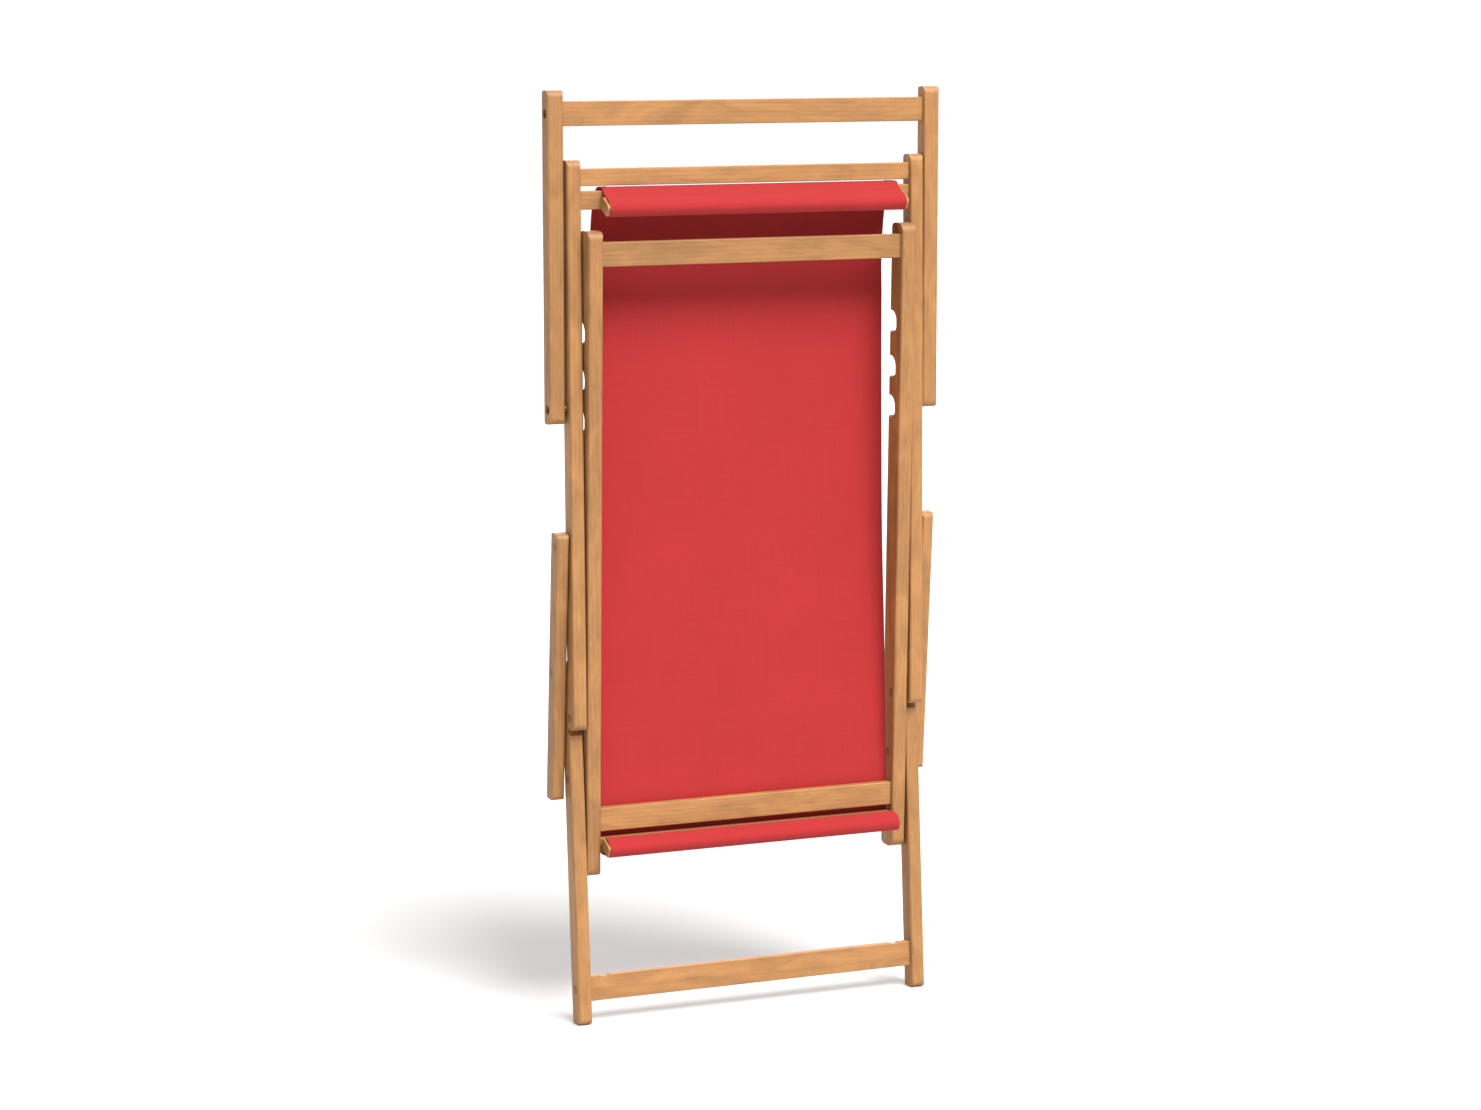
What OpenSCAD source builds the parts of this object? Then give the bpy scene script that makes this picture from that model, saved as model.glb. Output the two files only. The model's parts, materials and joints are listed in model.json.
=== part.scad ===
// Folding sling deck chair with armrests, shown folded flat and standing on its front feet.
// X runs across the chair, Y from the underside to the sitting side, Z up. Millimetres.

/* [Overall] */
// Width over the prop uprights, the widest pieces
chair_w = 560; // [520:1:680]
// Length of each back upright
back_len = 750; // [700:1:900]
// Length of each seat upright
seat_len = 860; // [820:1:1000]

/* [Boards across the chair] */
// Thickness of the prop uprights
prop_t = 22; // [20:0.5:28]
// Thickness of the back uprights and the legs, which share one layer
main_t = 19; // [17:0.5:24]
// Thickness of the armrests
arm_t = 17; // [15:0.5:19]
// Thickness of the seat uprights
seat_t = 20; // [18:0.5:26]
// Gap between prop uprights and back uprights
prop_gap = 3; // [2:0.5:5]
// Gap between armrests and back uprights
arm_gap = 1.5; // [1:0.1:3]
// Gap between back uprights and seat uprights
seat_gap = 2; // [1.5:0.1:4]

/* [Boards front to back] */
// Depth of the prop uprights
prop_d = 23; // [20:0.5:30]
// Depth of the back uprights
back_d = 26; // [24:0.5:29]
// Depth of the seat uprights
seat_d = 36; // [34:0.5:42]
// Depth of the armrests
arm_d = 25; // [24:0.5:32]
// Depth of the legs
leg_d = 27; // [26:0.5:32]

/* [Pivots] */
// Main pivot to the lower end of the back upright
back_down = 16; // [14:0.5:20]
// Main pivot to the lower, front end of the seat upright
seat_down = 217; // [212:1:240]
// Main pivot up to the armrest pivot
arm_up = 230; // [220:1:250]
// Main pivot up to the prop pivot
prop_up = 410; // [395:1:430]
// Main pivot down to the leg pivot
leg_below = 85; // [80:1:90]
// Armrest pivot down to the armrest's front pivot
arm_link = 172; // [168:1:176]
// Leg pivot up to the armrest's front pivot
leg_link = 144; // [142:1:147]
// Lean of the seat frame when the chair is folded, in degrees
seat_lean = -2.4; // [-3:0.1:-2]

/* [Armrests, legs and prop] */
// Armrest length beyond its back pivot
arm_over = 17; // [14:1:25]
// Armrest length
arm_len = 362; // [340:1:420]
// Leg pivot to foot
leg_down = 329; // [315:1:400]
// Leg length beyond its top pivot
leg_over = 14; // [12:1:18]
// Prop upright length beyond its pivot
prop_over = 19; // [15:1:25]
// Length of prop upright beyond the top of the back uprights, when folded
prop_rise = 90; // [86:1:106]

/* [Rails] */
// Height of the prop rail, the rear foot rail and the seat front rail
rail_h = 32; // [28:1:36]
// Height of the leg rail
leg_rail_h = 34; // [28:1:40]
// Height of the back top rail
top_rail_h = 22.5; // [20:0.5:26]
// Height of the back frame's sling rail, which the top rod bears on
sling_rail_h = 24; // [20:0.5:28]
// Height of the seat frame's sling rail, which the bottom rod bears on
seat_sling_rail_h = 21; // [18:0.5:24]
// Thickness of the rails
rail_t = 11.5; // [10:0.5:13]
// Distance of the rails behind the front edges of their uprights
rail_inset = 5.5; // [3:0.5:7]
// Slot between the back frame's top rail and its sling rail, for the cloth
cloth_slot = 6.5; // [5:0.5:10]
// Gap between the seat front rail and the sling rail below it
seat_rail_gap = 9; // [6:0.5:14]

/* [Reclining notches] */
// Height of a notch along the seat upright
notch_h = 27; // [24:0.5:30]
// Depth of a notch
notch_depth = 21; // [18:0.5:22]
// Main pivot up to the first notch
notch_first = 382; // [376:1:390]
// First notch to the second
notch_step = 54; // [48:1:60]
// Second notch to the third
notch_step_far = 61.5; // [50:0.5:70]

/* [Sling] */
// Gap between the cloth and the seat uprights, on each side
sling_side = 4; // [2:0.5:20]
// Thickness of the cloth as a plain solid
cloth_t = 2; // [1.5:0.1:2.5]
// Extra length of the top rod over the width of the cloth
top_rod_extra = 10; // [0:1:20]
// Play of the bottom rod between the seat uprights
bottom_rod_play = 4; // [3:0.5:30]
// Width of a rod's section
rod_w = 26; // [22:0.5:28]
// Thickness of a rod's section
rod_t = 16; // [12:0.5:18]

/* [Fasteners] */
// Diameter of the pivot bolts
bolt_dia = 6; // [5:0.5:8]
// Diameter of the bolt heads, screw heads and nuts
head_dia = 10; // [9:0.5:11]
// Diameter of the counterbores and wooden plugs
plug_dia = 12; // [11.5:0.5:13]
// Depth of the counterbores
plug_depth = 5; // [4.5:0.5:6]
// Diameter of the wooden dowels in the rail joints
dowel_dia = 6; // [5:0.5:7]

/* [Hidden] */
$fn = 48;
WOOD = "#D9A066";
WOOD_DARK = "#A87343";
CLOTH = "#D03C3E";
STEEL = "#5A4A3C";

// Thickness of the plugs that cover the nuts in the seat uprights
seat_plug_h = 2;
// Radial clearance of a bolt in its bore, and of plugs and dowels in their holes
bore_clear = 0.05;
// Clearance beside faces that turn past each other
face_clear = 0.3;
// End rounding of the boards, seen from the side
seat_end_r = 12;
back_end_r = 10;
prop_end_r = 9;
arm_end_r = 7;
leg_end_r = 7;
// Rounding along the long edges of the boards, and of the rails
edge_r = 3;
rail_edge_r = 1.5;

// Layers, as distances from the chair's middle plane
prop_in = chair_w / 2 - prop_t;
main_out = prop_in - prop_gap;
main_in = main_out - main_t;
seat_out = main_in - seat_gap;
seat_in = seat_out - seat_t;
arm_in = main_out + arm_gap;

// Distance from each board's pivot to its front edge
back_front = 16;
seat_front = 11;
arm_front = 9.5;
leg_front = 13.5;
prop_front = 9;
// Offsets of pivots behind the board's own pivot line
arm_pivot_v = -1;
prop_pivot_v = 2;
leg_pivot_v = 7;
// Lean of the prop when folded, and how far the armrest's and leg's boards turn off the
// line between their two pivots
prop_lean = -0.85;
arm_skew = 1.48;
leg_skew = 0.35;

// A vector [y, z] turned so that its upper end leans towards +Y by a degrees
function lean(p, a) = [p[0] * cos(a) + p[1] * sin(a), p[1] * cos(a) - p[0] * sin(a)];
function len2(p) = sqrt(p[0] * p[0] + p[1] * p[1]);

// Pivots relative to the main pivot, the chair folded and the back frame upright
arm_pivot = [arm_pivot_v, arm_up];
prop_pivot = [prop_pivot_v, prop_up];
leg_pivot = lean([leg_pivot_v, -leg_below], seat_lean);
// The armrest's front pivot closes the four-bar: arm_link from one pivot, leg_link from the other
span = arm_pivot - leg_pivot;
span_len = len2(span);
along = (span_len * span_len + leg_link * leg_link - arm_link * arm_link) / (2 * span_len);
aside = sqrt(leg_link * leg_link - along * along);
front_pivot = leg_pivot + along * span / span_len + aside * [span[1], -span[0]] / span_len;
arm_vec = arm_pivot - front_pivot;
leg_vec = front_pivot - leg_pivot;
arm_lean = atan2(arm_vec[0], arm_vec[1]) + arm_skew;
leg_lean = atan2(leg_vec[0], leg_vec[1]) + leg_skew;

// Rail positions along their uprights
rail_margin = 11;
back_up = back_len - back_down;
seat_up = seat_len - seat_down;
top_rail_u = back_up - rail_margin - top_rail_h;
back_sling_u = top_rail_u - cloth_slot - sling_rail_h;
foot_rail_margin = 14;
foot_rail_u = seat_up - foot_rail_margin - rail_h;
seat_sling_margin = 30;
seat_sling_u = -seat_down + seat_sling_margin;
seat_rail_u = seat_sling_u + seat_sling_rail_h + seat_rail_gap;
prop_reach = back_up - prop_up + prop_rise;
prop_rail_margin = 14;
prop_rail_u = prop_reach - prop_rail_margin - rail_h;
leg_rail_margin = 30;
leg_rail_u = -leg_down + leg_rail_margin;

// Sling: cloth behind the frames, with a sleeve at each end around a rod in front of a sling
// rail. The rods are flat slats whose sections lean back by the angles given.
sling_w = 2 * (seat_in - sling_side);
sling_x = sling_side - 1;
top_rod_x = 6;
bottom_rod_x = -1;
top_rod_len = sling_w + top_rod_extra;
bottom_rod_len = 2 * seat_in - bottom_rod_play;
top_rod_lean = 61;
bottom_rod_lean = 70;
// Rod centres below the tops of their sling rails
top_rod_drop = 20;
bottom_rod_drop = 9;
rod_chamfer = 2.5;
sleeve_clear = 0.3;
sleeve_g = sleeve_clear + cloth_t;
cloth_clear = 0.4;
rail_front_v = rail_inset - back_front;
rail_back_v = rail_front_v + rail_t;
seat_rail_front_v = rail_inset - seat_front;
seat_rail_back_v = seat_rail_front_v + rail_t;

// A chamfered rod section, grown by g on every side
function rod_points(g) = let (a = rod_t / 2 + g, b = rod_w / 2 + g, c = rod_chamfer) [
    [-a, c - b], [c - a, -b], [a - c, -b], [a, c - b],
    [a, b - c], [a - c, b], [c - a, b], [-a, b - c]
];
// How far a leaning rod with its sleeve reaches back from its centre
function rod_reach(a) = max([for (p = rod_points(sleeve_g)) lean(p, a)[0]]);
top_rod = [rail_front_v - cloth_clear - rod_reach(top_rod_lean),
    back_sling_u + sling_rail_h - top_rod_drop];
bottom_rod = [seat_rail_front_v - cloth_clear - rod_reach(bottom_rod_lean),
    seat_sling_u + seat_sling_rail_h - bottom_rod_drop];
// Where the cloth joins a sleeve: in the wall of its upper face (-1) or its lower face (1)
function sleeve_seam(a, face) =
    lean([rod_t / 2 + sleeve_g - cloth_t / 2, rod_chamfer - rod_w / 2] * face, a);

// Cloth path on the back frame, [v, u] from the main pivot: it hangs as a belly behind the
// frame, then passes over the sling rail to the top sleeve
sling_split = 26;
belly_v = 35;
hang_v = 14;
belly_rise = 2.6;
belly_end = 50;
belly_top = back_sling_u + sling_rail_h;
function belly(t) = hang_v + (belly_v - hang_v) * sin(90 * min(1, t * belly_rise));
back_path = concat(
    [for (t = [0:0.1:1]) [belly(t), sling_split + t * (belly_top - belly_end - sling_split)]],
    [[belly_v - 5, belly_top - 30], [belly_v - 16, belly_top - 8],
        [rail_back_v + 4, belly_top + 2], [rail_front_v, belly_top + cloth_slot / 2],
        top_rod + sleeve_seam(top_rod_lean, -1)]
);
// Cloth path on the seat frame: straight down behind both front rails, then round the lower
// edge of the sling rail to the bottom sleeve
cloth_bend = rail_edge_r + cloth_clear + cloth_t / 2;
seat_hang_v = seat_rail_back_v + cloth_clear + cloth_t / 2;
seat_path = concat(
    [[hang_v, -sling_split], [seat_hang_v + 1, -80], [seat_hang_v, -110]],
    [for (a = [0:30:90]) [seat_rail_back_v - rail_edge_r + cloth_bend * cos(a),
        seat_sling_u + rail_edge_r - cloth_bend * sin(a)]],
    [[seat_rail_front_v, seat_sling_u - cloth_clear - cloth_t / 2],
        bottom_rod + sleeve_seam(bottom_rod_lean, 1)]
);

// Standing height of the main pivot, and the shift that centres the folded chair front to back
foot_corner_v = leg_end_r - leg_front;
foot_u = leg_end_r - leg_down;
foot_z = min(lean([foot_corner_v, foot_u], leg_lean)[1],
    lean([leg_d - leg_front - leg_end_r, foot_u], leg_lean)[1]) - leg_end_r;
main_z = -(leg_pivot[1] + foot_z);
arm_corner = arm_pivot + lean([arm_d - arm_front - arm_end_r,
    arm_over - arm_len + arm_end_r], arm_lean);
y_high = arm_corner[0] + arm_end_r;
y_low = min([for (p = rod_points(sleeve_g)) (top_rod + lean(p, top_rod_lean))[0]]);
main_y = -(y_high + y_low) / 2;
main_pivot = [main_y, main_z];

// ---- shapes ----

module rounded(w, h, r) {
    translate([r, 0])
        square([w - 2 * r, h]);
    translate([0, r])
        square([w, h - 2 * r]);
    for (x = [r, w - r], y = [r, h - r])
        translate([x, y])
            circle(r);
}

// Puts local (v, u) axes, as Y and Z, at p leaning by a
module at_lean(p, a)
    translate([0, p[0], p[1]])
        rotate([-a, 0, 0])
            children();

// Extrudes a (Y, Z) outline from x0 outwards by t, on the side given by -1 or 1
module plate(x0, t, side)
    mirror([side < 0 ? 1 : 0, 0, 0])
        translate([x0, 0, 0])
            rotate([90, 0, 90])
                linear_extrude(t)
                    children();

// A board with rounded ends and edges: v from -front, u from -down to up
module board(x0, t, side, front, depth, down, up, r)
    intersection() {
        plate(x0, t, side)
            translate([-front, -down])
                rounded(depth, up + down, r);
        mirror([side < 0 ? 1 : 0, 0, 0])
            translate([x0, -front, -down])
                linear_extrude(up + down)
                    rounded(t, depth, edge_r);
    }

// A straight round hole or pin along X from x0 outwards, at local [v, u]
module pin(x0, l, side, p, d)
    mirror([side < 0 ? 1 : 0, 0, 0])
        translate([x0, p[0], p[1]])
            rotate([0, 90, 0])
                cylinder(d = d, h = l);

module rail(half, v, u, h)
    translate([-half, 0, 0])
        rotate([90, 0, 90])
            linear_extrude(2 * half)
                translate([v, u])
                    rounded(rail_t, h, rail_edge_r);

// Cloth of thickness cloth_t along a path of [v, u] points
function normal_at(path, i) = let (
    a = path[max(0, i - 1)], b = path[min(len(path) - 1, i + 1)], d = b - a
) [d[1], -d[0]] / len2(d);
module ribbon(path) {
    n = len(path) - 1;
    polygon(concat(
        [for (i = [0:n]) path[i] + normal_at(path, i) * cloth_t / 2],
        [for (i = [n:-1:0]) path[i] - normal_at(path, i) * cloth_t / 2]
    ));
}

module sleeve_outline(p, a)
    translate(p)
        rotate(-a)
            difference() {
                polygon(rod_points(sleeve_g));
                polygon(rod_points(sleeve_clear));
            }

// A hollow is cut through a board for a bolt: bore, and a counterbore from its outer or inner face
bolt_bore = bolt_dia + 2 * bore_clear;
plug_bore = plug_dia + 2 * bore_clear;
cut = 1;
module bore(x0, t, side, p)
    pin(x0 - cut, t + 2 * cut, side, p, bolt_bore);
module outer_counterbore(face, side, p)
    pin(face - plug_depth, plug_depth + cut, side, p, plug_bore);
module inner_counterbore(face, side, p, extra = 0)
    pin(face - cut, plug_depth + extra + cut, side, p, plug_bore);

// ---- places of holes, [v, u] in each board's own axes ----
arm_front_at = lean(front_pivot - arm_pivot, -arm_lean);
leg_top_at = lean(front_pivot - leg_pivot, -leg_lean);
leg_at_seat = [leg_pivot_v, -leg_below];
prop_screw_at = [rail_inset - prop_front + rail_t / 2, prop_rail_u + rail_h / 2];
leg_screw_at = [rail_inset - leg_front + rail_t / 2, leg_rail_u + leg_rail_h / 2];
screw_shank = 5;
screw_hold = 30;
dowel_in = 10;
dowel_out = 14;
dowel_spare = 0.5;
dowel_step = 6;

// Centres of the two dowels at each end of a rail
function dowels(v, u, h) = [for (k = [-1, 1]) [v + rail_t / 2, u + h / 2 + k * dowel_step]];
back_dowels = concat(dowels(rail_front_v, top_rail_u, top_rail_h),
    dowels(rail_front_v, back_sling_u, sling_rail_h));
seat_dowels = concat(dowels(seat_rail_front_v, foot_rail_u, rail_h),
    dowels(seat_rail_front_v, seat_rail_u, rail_h),
    dowels(seat_rail_front_v, seat_sling_u, seat_sling_rail_h));

module dowel_holes(face, places)
    for (side = [-1, 1], p = places)
        pin(face - dowel_out - dowel_spare, dowel_out + dowel_in + 2 * dowel_spare, side, p,
            dowel_dia + 2 * bore_clear);

module dowel_pins(face, places)
    color(WOOD_DARK)
        for (side = [-1, 1], p = places)
            pin(face - dowel_out, dowel_out + dowel_in, side, p, dowel_dia);

// ---- frames ----
module in_back() at_lean(main_pivot, 0) children();
module in_seat() at_lean(main_pivot, seat_lean) children();
module in_arm() at_lean(main_pivot + arm_pivot, arm_lean) children();
module in_leg() at_lean(main_pivot + leg_pivot, leg_lean) children();
module in_prop() at_lean(main_pivot + prop_pivot, prop_lean) children();

// ---- back frame ----
module back_upright(side)
    color(WOOD)
        in_back()
            difference() {
                board(main_in, main_t, side, back_front, back_d, back_down, back_up, back_end_r);
                bore(main_in, main_t, side, [0, 0]);
                outer_counterbore(main_out, side, [0, 0]);
                for (p = [arm_pivot, prop_pivot]) {
                    bore(main_in, main_t, side, p);
                    inner_counterbore(main_in, side, p);
                }
                dowel_holes(main_in, back_dowels);
            }

module back_rail(u, h)
    color(WOOD)
        in_back()
            difference() {
                rail(main_in, rail_front_v, u, h);
                dowel_holes(main_in, back_dowels);
            }
module back_top_rail() back_rail(top_rail_u, top_rail_h);
module back_sling_rail() back_rail(back_sling_u, sling_rail_h);

// ---- seat frame ----
notch_soft_r = 15;
notch_tight_r = 6;
module notch(u)
    translate([seat_d - seat_front, u])
        mirror([1, 0]) {
            translate([-cut, 0])
                square([cut + notch_depth - notch_soft_r, notch_h]);
            translate([-cut, 0])
                square([cut + notch_depth - notch_tight_r, notch_h - notch_soft_r]);
            translate([-cut, notch_tight_r])
                square([cut + notch_depth, notch_h - notch_soft_r - notch_tight_r]);
            translate([notch_depth - notch_soft_r, notch_h - notch_soft_r])
                circle(notch_soft_r);
            translate([notch_depth - notch_tight_r, notch_tight_r])
                circle(notch_tight_r);
        }

notch_places = [notch_first, notch_first + notch_step,
    notch_first + notch_step + notch_step_far];

module seat_upright(side)
    color(WOOD)
        in_seat()
            difference() {
                board(seat_in, seat_t, side, seat_front, seat_d, seat_down, seat_up, seat_end_r);
                for (u = notch_places)
                    plate(seat_in - cut, seat_t + 2 * cut, side)
                        notch(u);
                for (p = [[0, 0], leg_at_seat]) {
                    bore(seat_in, seat_t, side, p);
                    inner_counterbore(seat_in, side, p, seat_plug_h);
                }
                dowel_holes(seat_in, seat_dowels);
            }

module seat_rail(u, h)
    color(WOOD)
        in_seat()
            difference() {
                rail(seat_in, seat_rail_front_v, u, h);
                dowel_holes(seat_in, seat_dowels);
            }
module rear_foot_rail() seat_rail(foot_rail_u, rail_h);
module seat_front_rail() seat_rail(seat_rail_u, rail_h);
module seat_sling_rail() seat_rail(seat_sling_u, seat_sling_rail_h);

// ---- legs: their upper front is cut back so that they lie behind the back uprights ----
relief_clear = 1;
module leg_relief(side)
    in_back()
        plate(main_in - cut, main_t + 2 * cut, side)
            polygon([
                [-back_front, -back_down - 8], [back_d - back_front - 8, -back_down - 8],
                [back_d - back_front + relief_clear, -back_down],
                [back_d - back_front + relief_clear, arm_up], [-back_front, arm_up]
            ]);

module leg(side)
    color(WOOD)
        difference() {
            in_leg()
                difference() {
                    board(main_in, main_t, side, leg_front, leg_d, leg_down,
                        leg_top_at[1] + leg_over, leg_end_r);
                    bore(main_in, main_t, side, [0, 0]);
                    outer_counterbore(main_out, side, [0, 0]);
                    bore(main_in, main_t, side, leg_top_at);
                    inner_counterbore(main_in, side, leg_top_at);
                    outer_counterbore(main_out, side, leg_screw_at);
                    pin(main_in - cut, main_t + cut, side, leg_screw_at,
                        screw_shank + 2 * bore_clear);
                }
            leg_relief(side);
        }

scallop_w = 14;
scallop_deep = 2.5;
scallop_r = (scallop_w * scallop_w / 4 + scallop_deep * scallop_deep) / (2 * scallop_deep);
scallop_from_leg = 22;
module leg_rail()
    color(WOOD)
        in_leg()
            difference() {
                rail(main_in, rail_inset - leg_front, leg_rail_u, leg_rail_h);
                for (side = [-1, 1]) {
                    pin(main_in - screw_hold, screw_hold + cut, side, leg_screw_at,
                        screw_shank + 2 * bore_clear);
                    translate([side * (main_in - scallop_from_leg), 0,
                        leg_rail_u + leg_rail_h - scallop_deep + scallop_r])
                        rotate([90, 0, 0])
                            cylinder(r = scallop_r, h = 4 * rail_t, center = true);
                }
            }

// ---- prop ----
module prop_upright(side)
    color(WOOD)
        in_prop()
            difference() {
                board(prop_in, prop_t, side, prop_front, prop_d, prop_over, prop_reach, prop_end_r);
                bore(prop_in, prop_t, side, [0, 0]);
                outer_counterbore(chair_w / 2, side, [0, 0]);
                pin(prop_in - cut, prop_t + cut, side, prop_screw_at, screw_shank + 2 * bore_clear);
                outer_counterbore(chair_w / 2, side, prop_screw_at);
            }

module prop_rail()
    color(WOOD)
        in_prop()
            difference() {
                rail(prop_in, rail_inset - prop_front, prop_rail_u, rail_h);
                for (side = [-1, 1])
                    pin(prop_in - screw_hold, screw_hold + cut, side, prop_screw_at,
                        screw_shank + 2 * bore_clear);
            }

// ---- armrests ----
module armrest(side)
    color(WOOD)
        in_arm()
            difference() {
                board(arm_in, arm_t, side, arm_front, arm_d, arm_len - arm_over, arm_over, arm_end_r);
                for (p = [[0, 0], arm_front_at]) {
                    bore(arm_in, arm_t, side, p);
                    outer_counterbore(arm_in + arm_t, side, p);
                }
            }

// ---- sling ----
module sling_back()
    color(CLOTH)
        in_back() {
            plate(sling_x - sling_w / 2, sling_w, 1)
                ribbon(back_path);
            plate(top_rod_x - sling_w / 2, sling_w, 1)
                sleeve_outline(top_rod, top_rod_lean);
        }

module sling_seat()
    color(CLOTH)
        in_seat() {
            plate(sling_x - sling_w / 2, sling_w, 1)
                ribbon(seat_path);
            plate(sling_x - sling_w / 2, sling_w, 1)
                sleeve_outline(bottom_rod, bottom_rod_lean);
        }

module rod(p, a, x, l)
    color(WOOD)
        plate(x - l / 2, l, 1)
            translate(p)
                rotate(-a)
                    polygon(rod_points(0));
module top_sling_rod() in_back() rod(top_rod, top_rod_lean, top_rod_x, top_rod_len);
module bottom_sling_rod()
    in_seat() rod(bottom_rod, bottom_rod_lean, bottom_rod_x, bottom_rod_len);

// ---- fasteners ----
head_h = 3;
nut_h = 4;
plug_h = plug_depth - head_h - face_clear;
washer_dia = 16;
washer_clear = 0.4;

// Pair of bolts whose heads sit off the counterbore floors by off, and whose tips end at x_tip
module bolt(x_face, x_tip, off, p)
    color(STEEL)
        for (side = [-1, 1]) {
            pin(x_face - plug_depth + off, head_h - off, side, p, head_dia);
            pin(x_tip, x_face - plug_depth + off - x_tip, side, p, bolt_dia);
        }

// Pair of round nuts in inner counterbores, off their floors by off
module nut(x_inner, off, p)
    color(STEEL)
        for (side = [-1, 1])
            mirror([side < 0 ? 1 : 0, 0, 0])
                translate([x_inner + plug_depth - off - nut_h, p[0], p[1]])
                    rotate([0, 90, 0])
                        difference() {
                            cylinder(d = head_dia, h = nut_h);
                            translate([0, 0, -cut])
                                cylinder(d = bolt_bore, h = nut_h + 2 * cut);
                        }

module washer(x0, t, p)
    color(STEEL)
        for (side = [-1, 1])
            mirror([side < 0 ? 1 : 0, 0, 0])
                translate([x0, p[0], p[1]])
                    rotate([0, 90, 0])
                        difference() {
                            cylinder(d = washer_dia, h = t);
                            translate([0, 0, -cut])
                                cylinder(d = bolt_dia + 4 * washer_clear, h = t + 2 * cut);
                        }

module plug(x_face, side, p)
    color(WOOD_DARK)
        pin(x_face - plug_h, plug_h, side, p, plug_dia);

seat_tip = seat_in + seat_plug_h + face_clear;
module main_pivot_bolts() in_back() bolt(main_out, seat_tip, 0, [0, 0]);
module main_pivot_nuts() in_back() nut(seat_in + seat_plug_h, face_clear, [0, 0]);
module main_pivot_washers()
    in_back() washer(main_in - seat_gap + washer_clear, seat_gap - washer_clear, [0, 0]);
module main_pivot_plugs()
    in_back()
        for (side = [-1, 1])
            plug(main_out, side, [0, 0]);

module leg_pivot_bolts() in_leg() bolt(main_out, seat_tip, 0, [0, 0]);
module leg_pivot_nuts() in_leg() nut(seat_in + seat_plug_h, face_clear, [0, 0]);
module leg_pivot_washers()
    in_leg() washer(main_in - seat_gap + washer_clear, seat_gap - washer_clear, [0, 0]);
module leg_plugs()
    in_leg()
        for (side = [-1, 1], p = [[0, 0], leg_screw_at])
            plug(main_out, side, p);

// Plugs at the seat uprights' inner faces, over the nuts of both pivots
module seat_pivot_plugs()
    color(WOOD_DARK)
        in_seat()
            for (side = [-1, 1], p = [[0, 0], leg_at_seat])
                pin(seat_in, seat_plug_h, side, p, plug_dia);

module arm_pivot_bolts() in_back() bolt(arm_in + arm_t, main_in, face_clear, arm_pivot);
module arm_pivot_nuts() in_back() nut(main_in, 0, arm_pivot);
module arm_pivot_washers() in_back() washer(main_out, arm_gap - washer_clear, arm_pivot);

module prop_pivot_bolts() in_prop() bolt(chair_w / 2, main_in, 0, [0, 0]);
module prop_pivot_nuts() in_prop() nut(main_in, face_clear, [0, 0]);
module prop_pivot_washers()
    in_prop() washer(prop_in - prop_gap + washer_clear, prop_gap - washer_clear, [0, 0]);

// The armrest's front pivot is two halves: a bolt in the armrest and an insert in the leg
module front_bolt(side)
    color(STEEL)
        in_arm() {
            pin(arm_in + arm_t - plug_depth, head_h, side, arm_front_at, head_dia);
            pin(arm_in, arm_t - plug_depth, side, arm_front_at, bolt_dia);
        }
module leg_top_inserts()
    in_leg()
        color(STEEL)
            for (side = [-1, 1]) {
                pin(main_in + plug_depth, main_t - plug_depth, side, leg_top_at, bolt_dia);
                pin(main_in + plug_depth - head_h, head_h, side, leg_top_at, head_dia);
            }
module leg_top_washers() in_leg() washer(main_out, arm_gap - washer_clear, leg_top_at);
module arm_plugs(side)
    in_arm()
        for (p = [[0, 0], arm_front_at])
            plug(arm_in + arm_t, side, p);

module screws(x_face, x_rail, p)
    color(STEEL)
        for (side = [-1, 1]) {
            pin(x_face - plug_depth, head_h, side, p, head_dia);
            pin(x_rail - screw_hold + cut, x_face - plug_depth - x_rail + screw_hold - cut, side, p,
                screw_shank);
        }
module leg_rail_screws() in_leg() screws(main_out, main_in, leg_screw_at);
module prop_rail_screws() in_prop() screws(chair_w / 2, prop_in, prop_screw_at);
module back_rail_dowels() in_back() dowel_pins(main_in, back_dowels);
module seat_rail_dowels() in_seat() dowel_pins(seat_in, seat_dowels);

back_upright(-1);  // back_upright_left
back_upright(1);  // back_upright_right
back_top_rail();
back_sling_rail();
seat_upright(-1);  // seat_upright_left
seat_upright(1);  // seat_upright_right
rear_foot_rail();
seat_front_rail();
seat_sling_rail();
leg(-1);  // leg_left
leg(1);  // leg_right
leg_rail();
prop_upright(-1);  // prop_upright_left
prop_upright(1);  // prop_upright_right
prop_rail();
armrest(-1);  // armrest_left
armrest(1);  // armrest_right
sling_back();
sling_seat();
top_sling_rod();
bottom_sling_rod();
main_pivot_bolts();
main_pivot_nuts();
main_pivot_washers();
main_pivot_plugs();
seat_pivot_plugs();
leg_pivot_bolts();
leg_pivot_nuts();
leg_pivot_washers();
leg_plugs();
arm_pivot_bolts();
arm_pivot_nuts();
arm_pivot_washers();
prop_pivot_bolts();
prop_pivot_nuts();
prop_pivot_washers();
front_bolt(-1);  // armrest_left_front_bolt
front_bolt(1);  // armrest_right_front_bolt
arm_plugs(-1);  // armrest_left_plugs
arm_plugs(1);  // armrest_right_plugs
leg_top_inserts();
leg_top_washers();
leg_rail_screws();
prop_rail_screws();
back_rail_dowels();
seat_rail_dowels();
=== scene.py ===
import json
import math

import bpy
import numpy as np
from mathutils import Matrix, Vector


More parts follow.
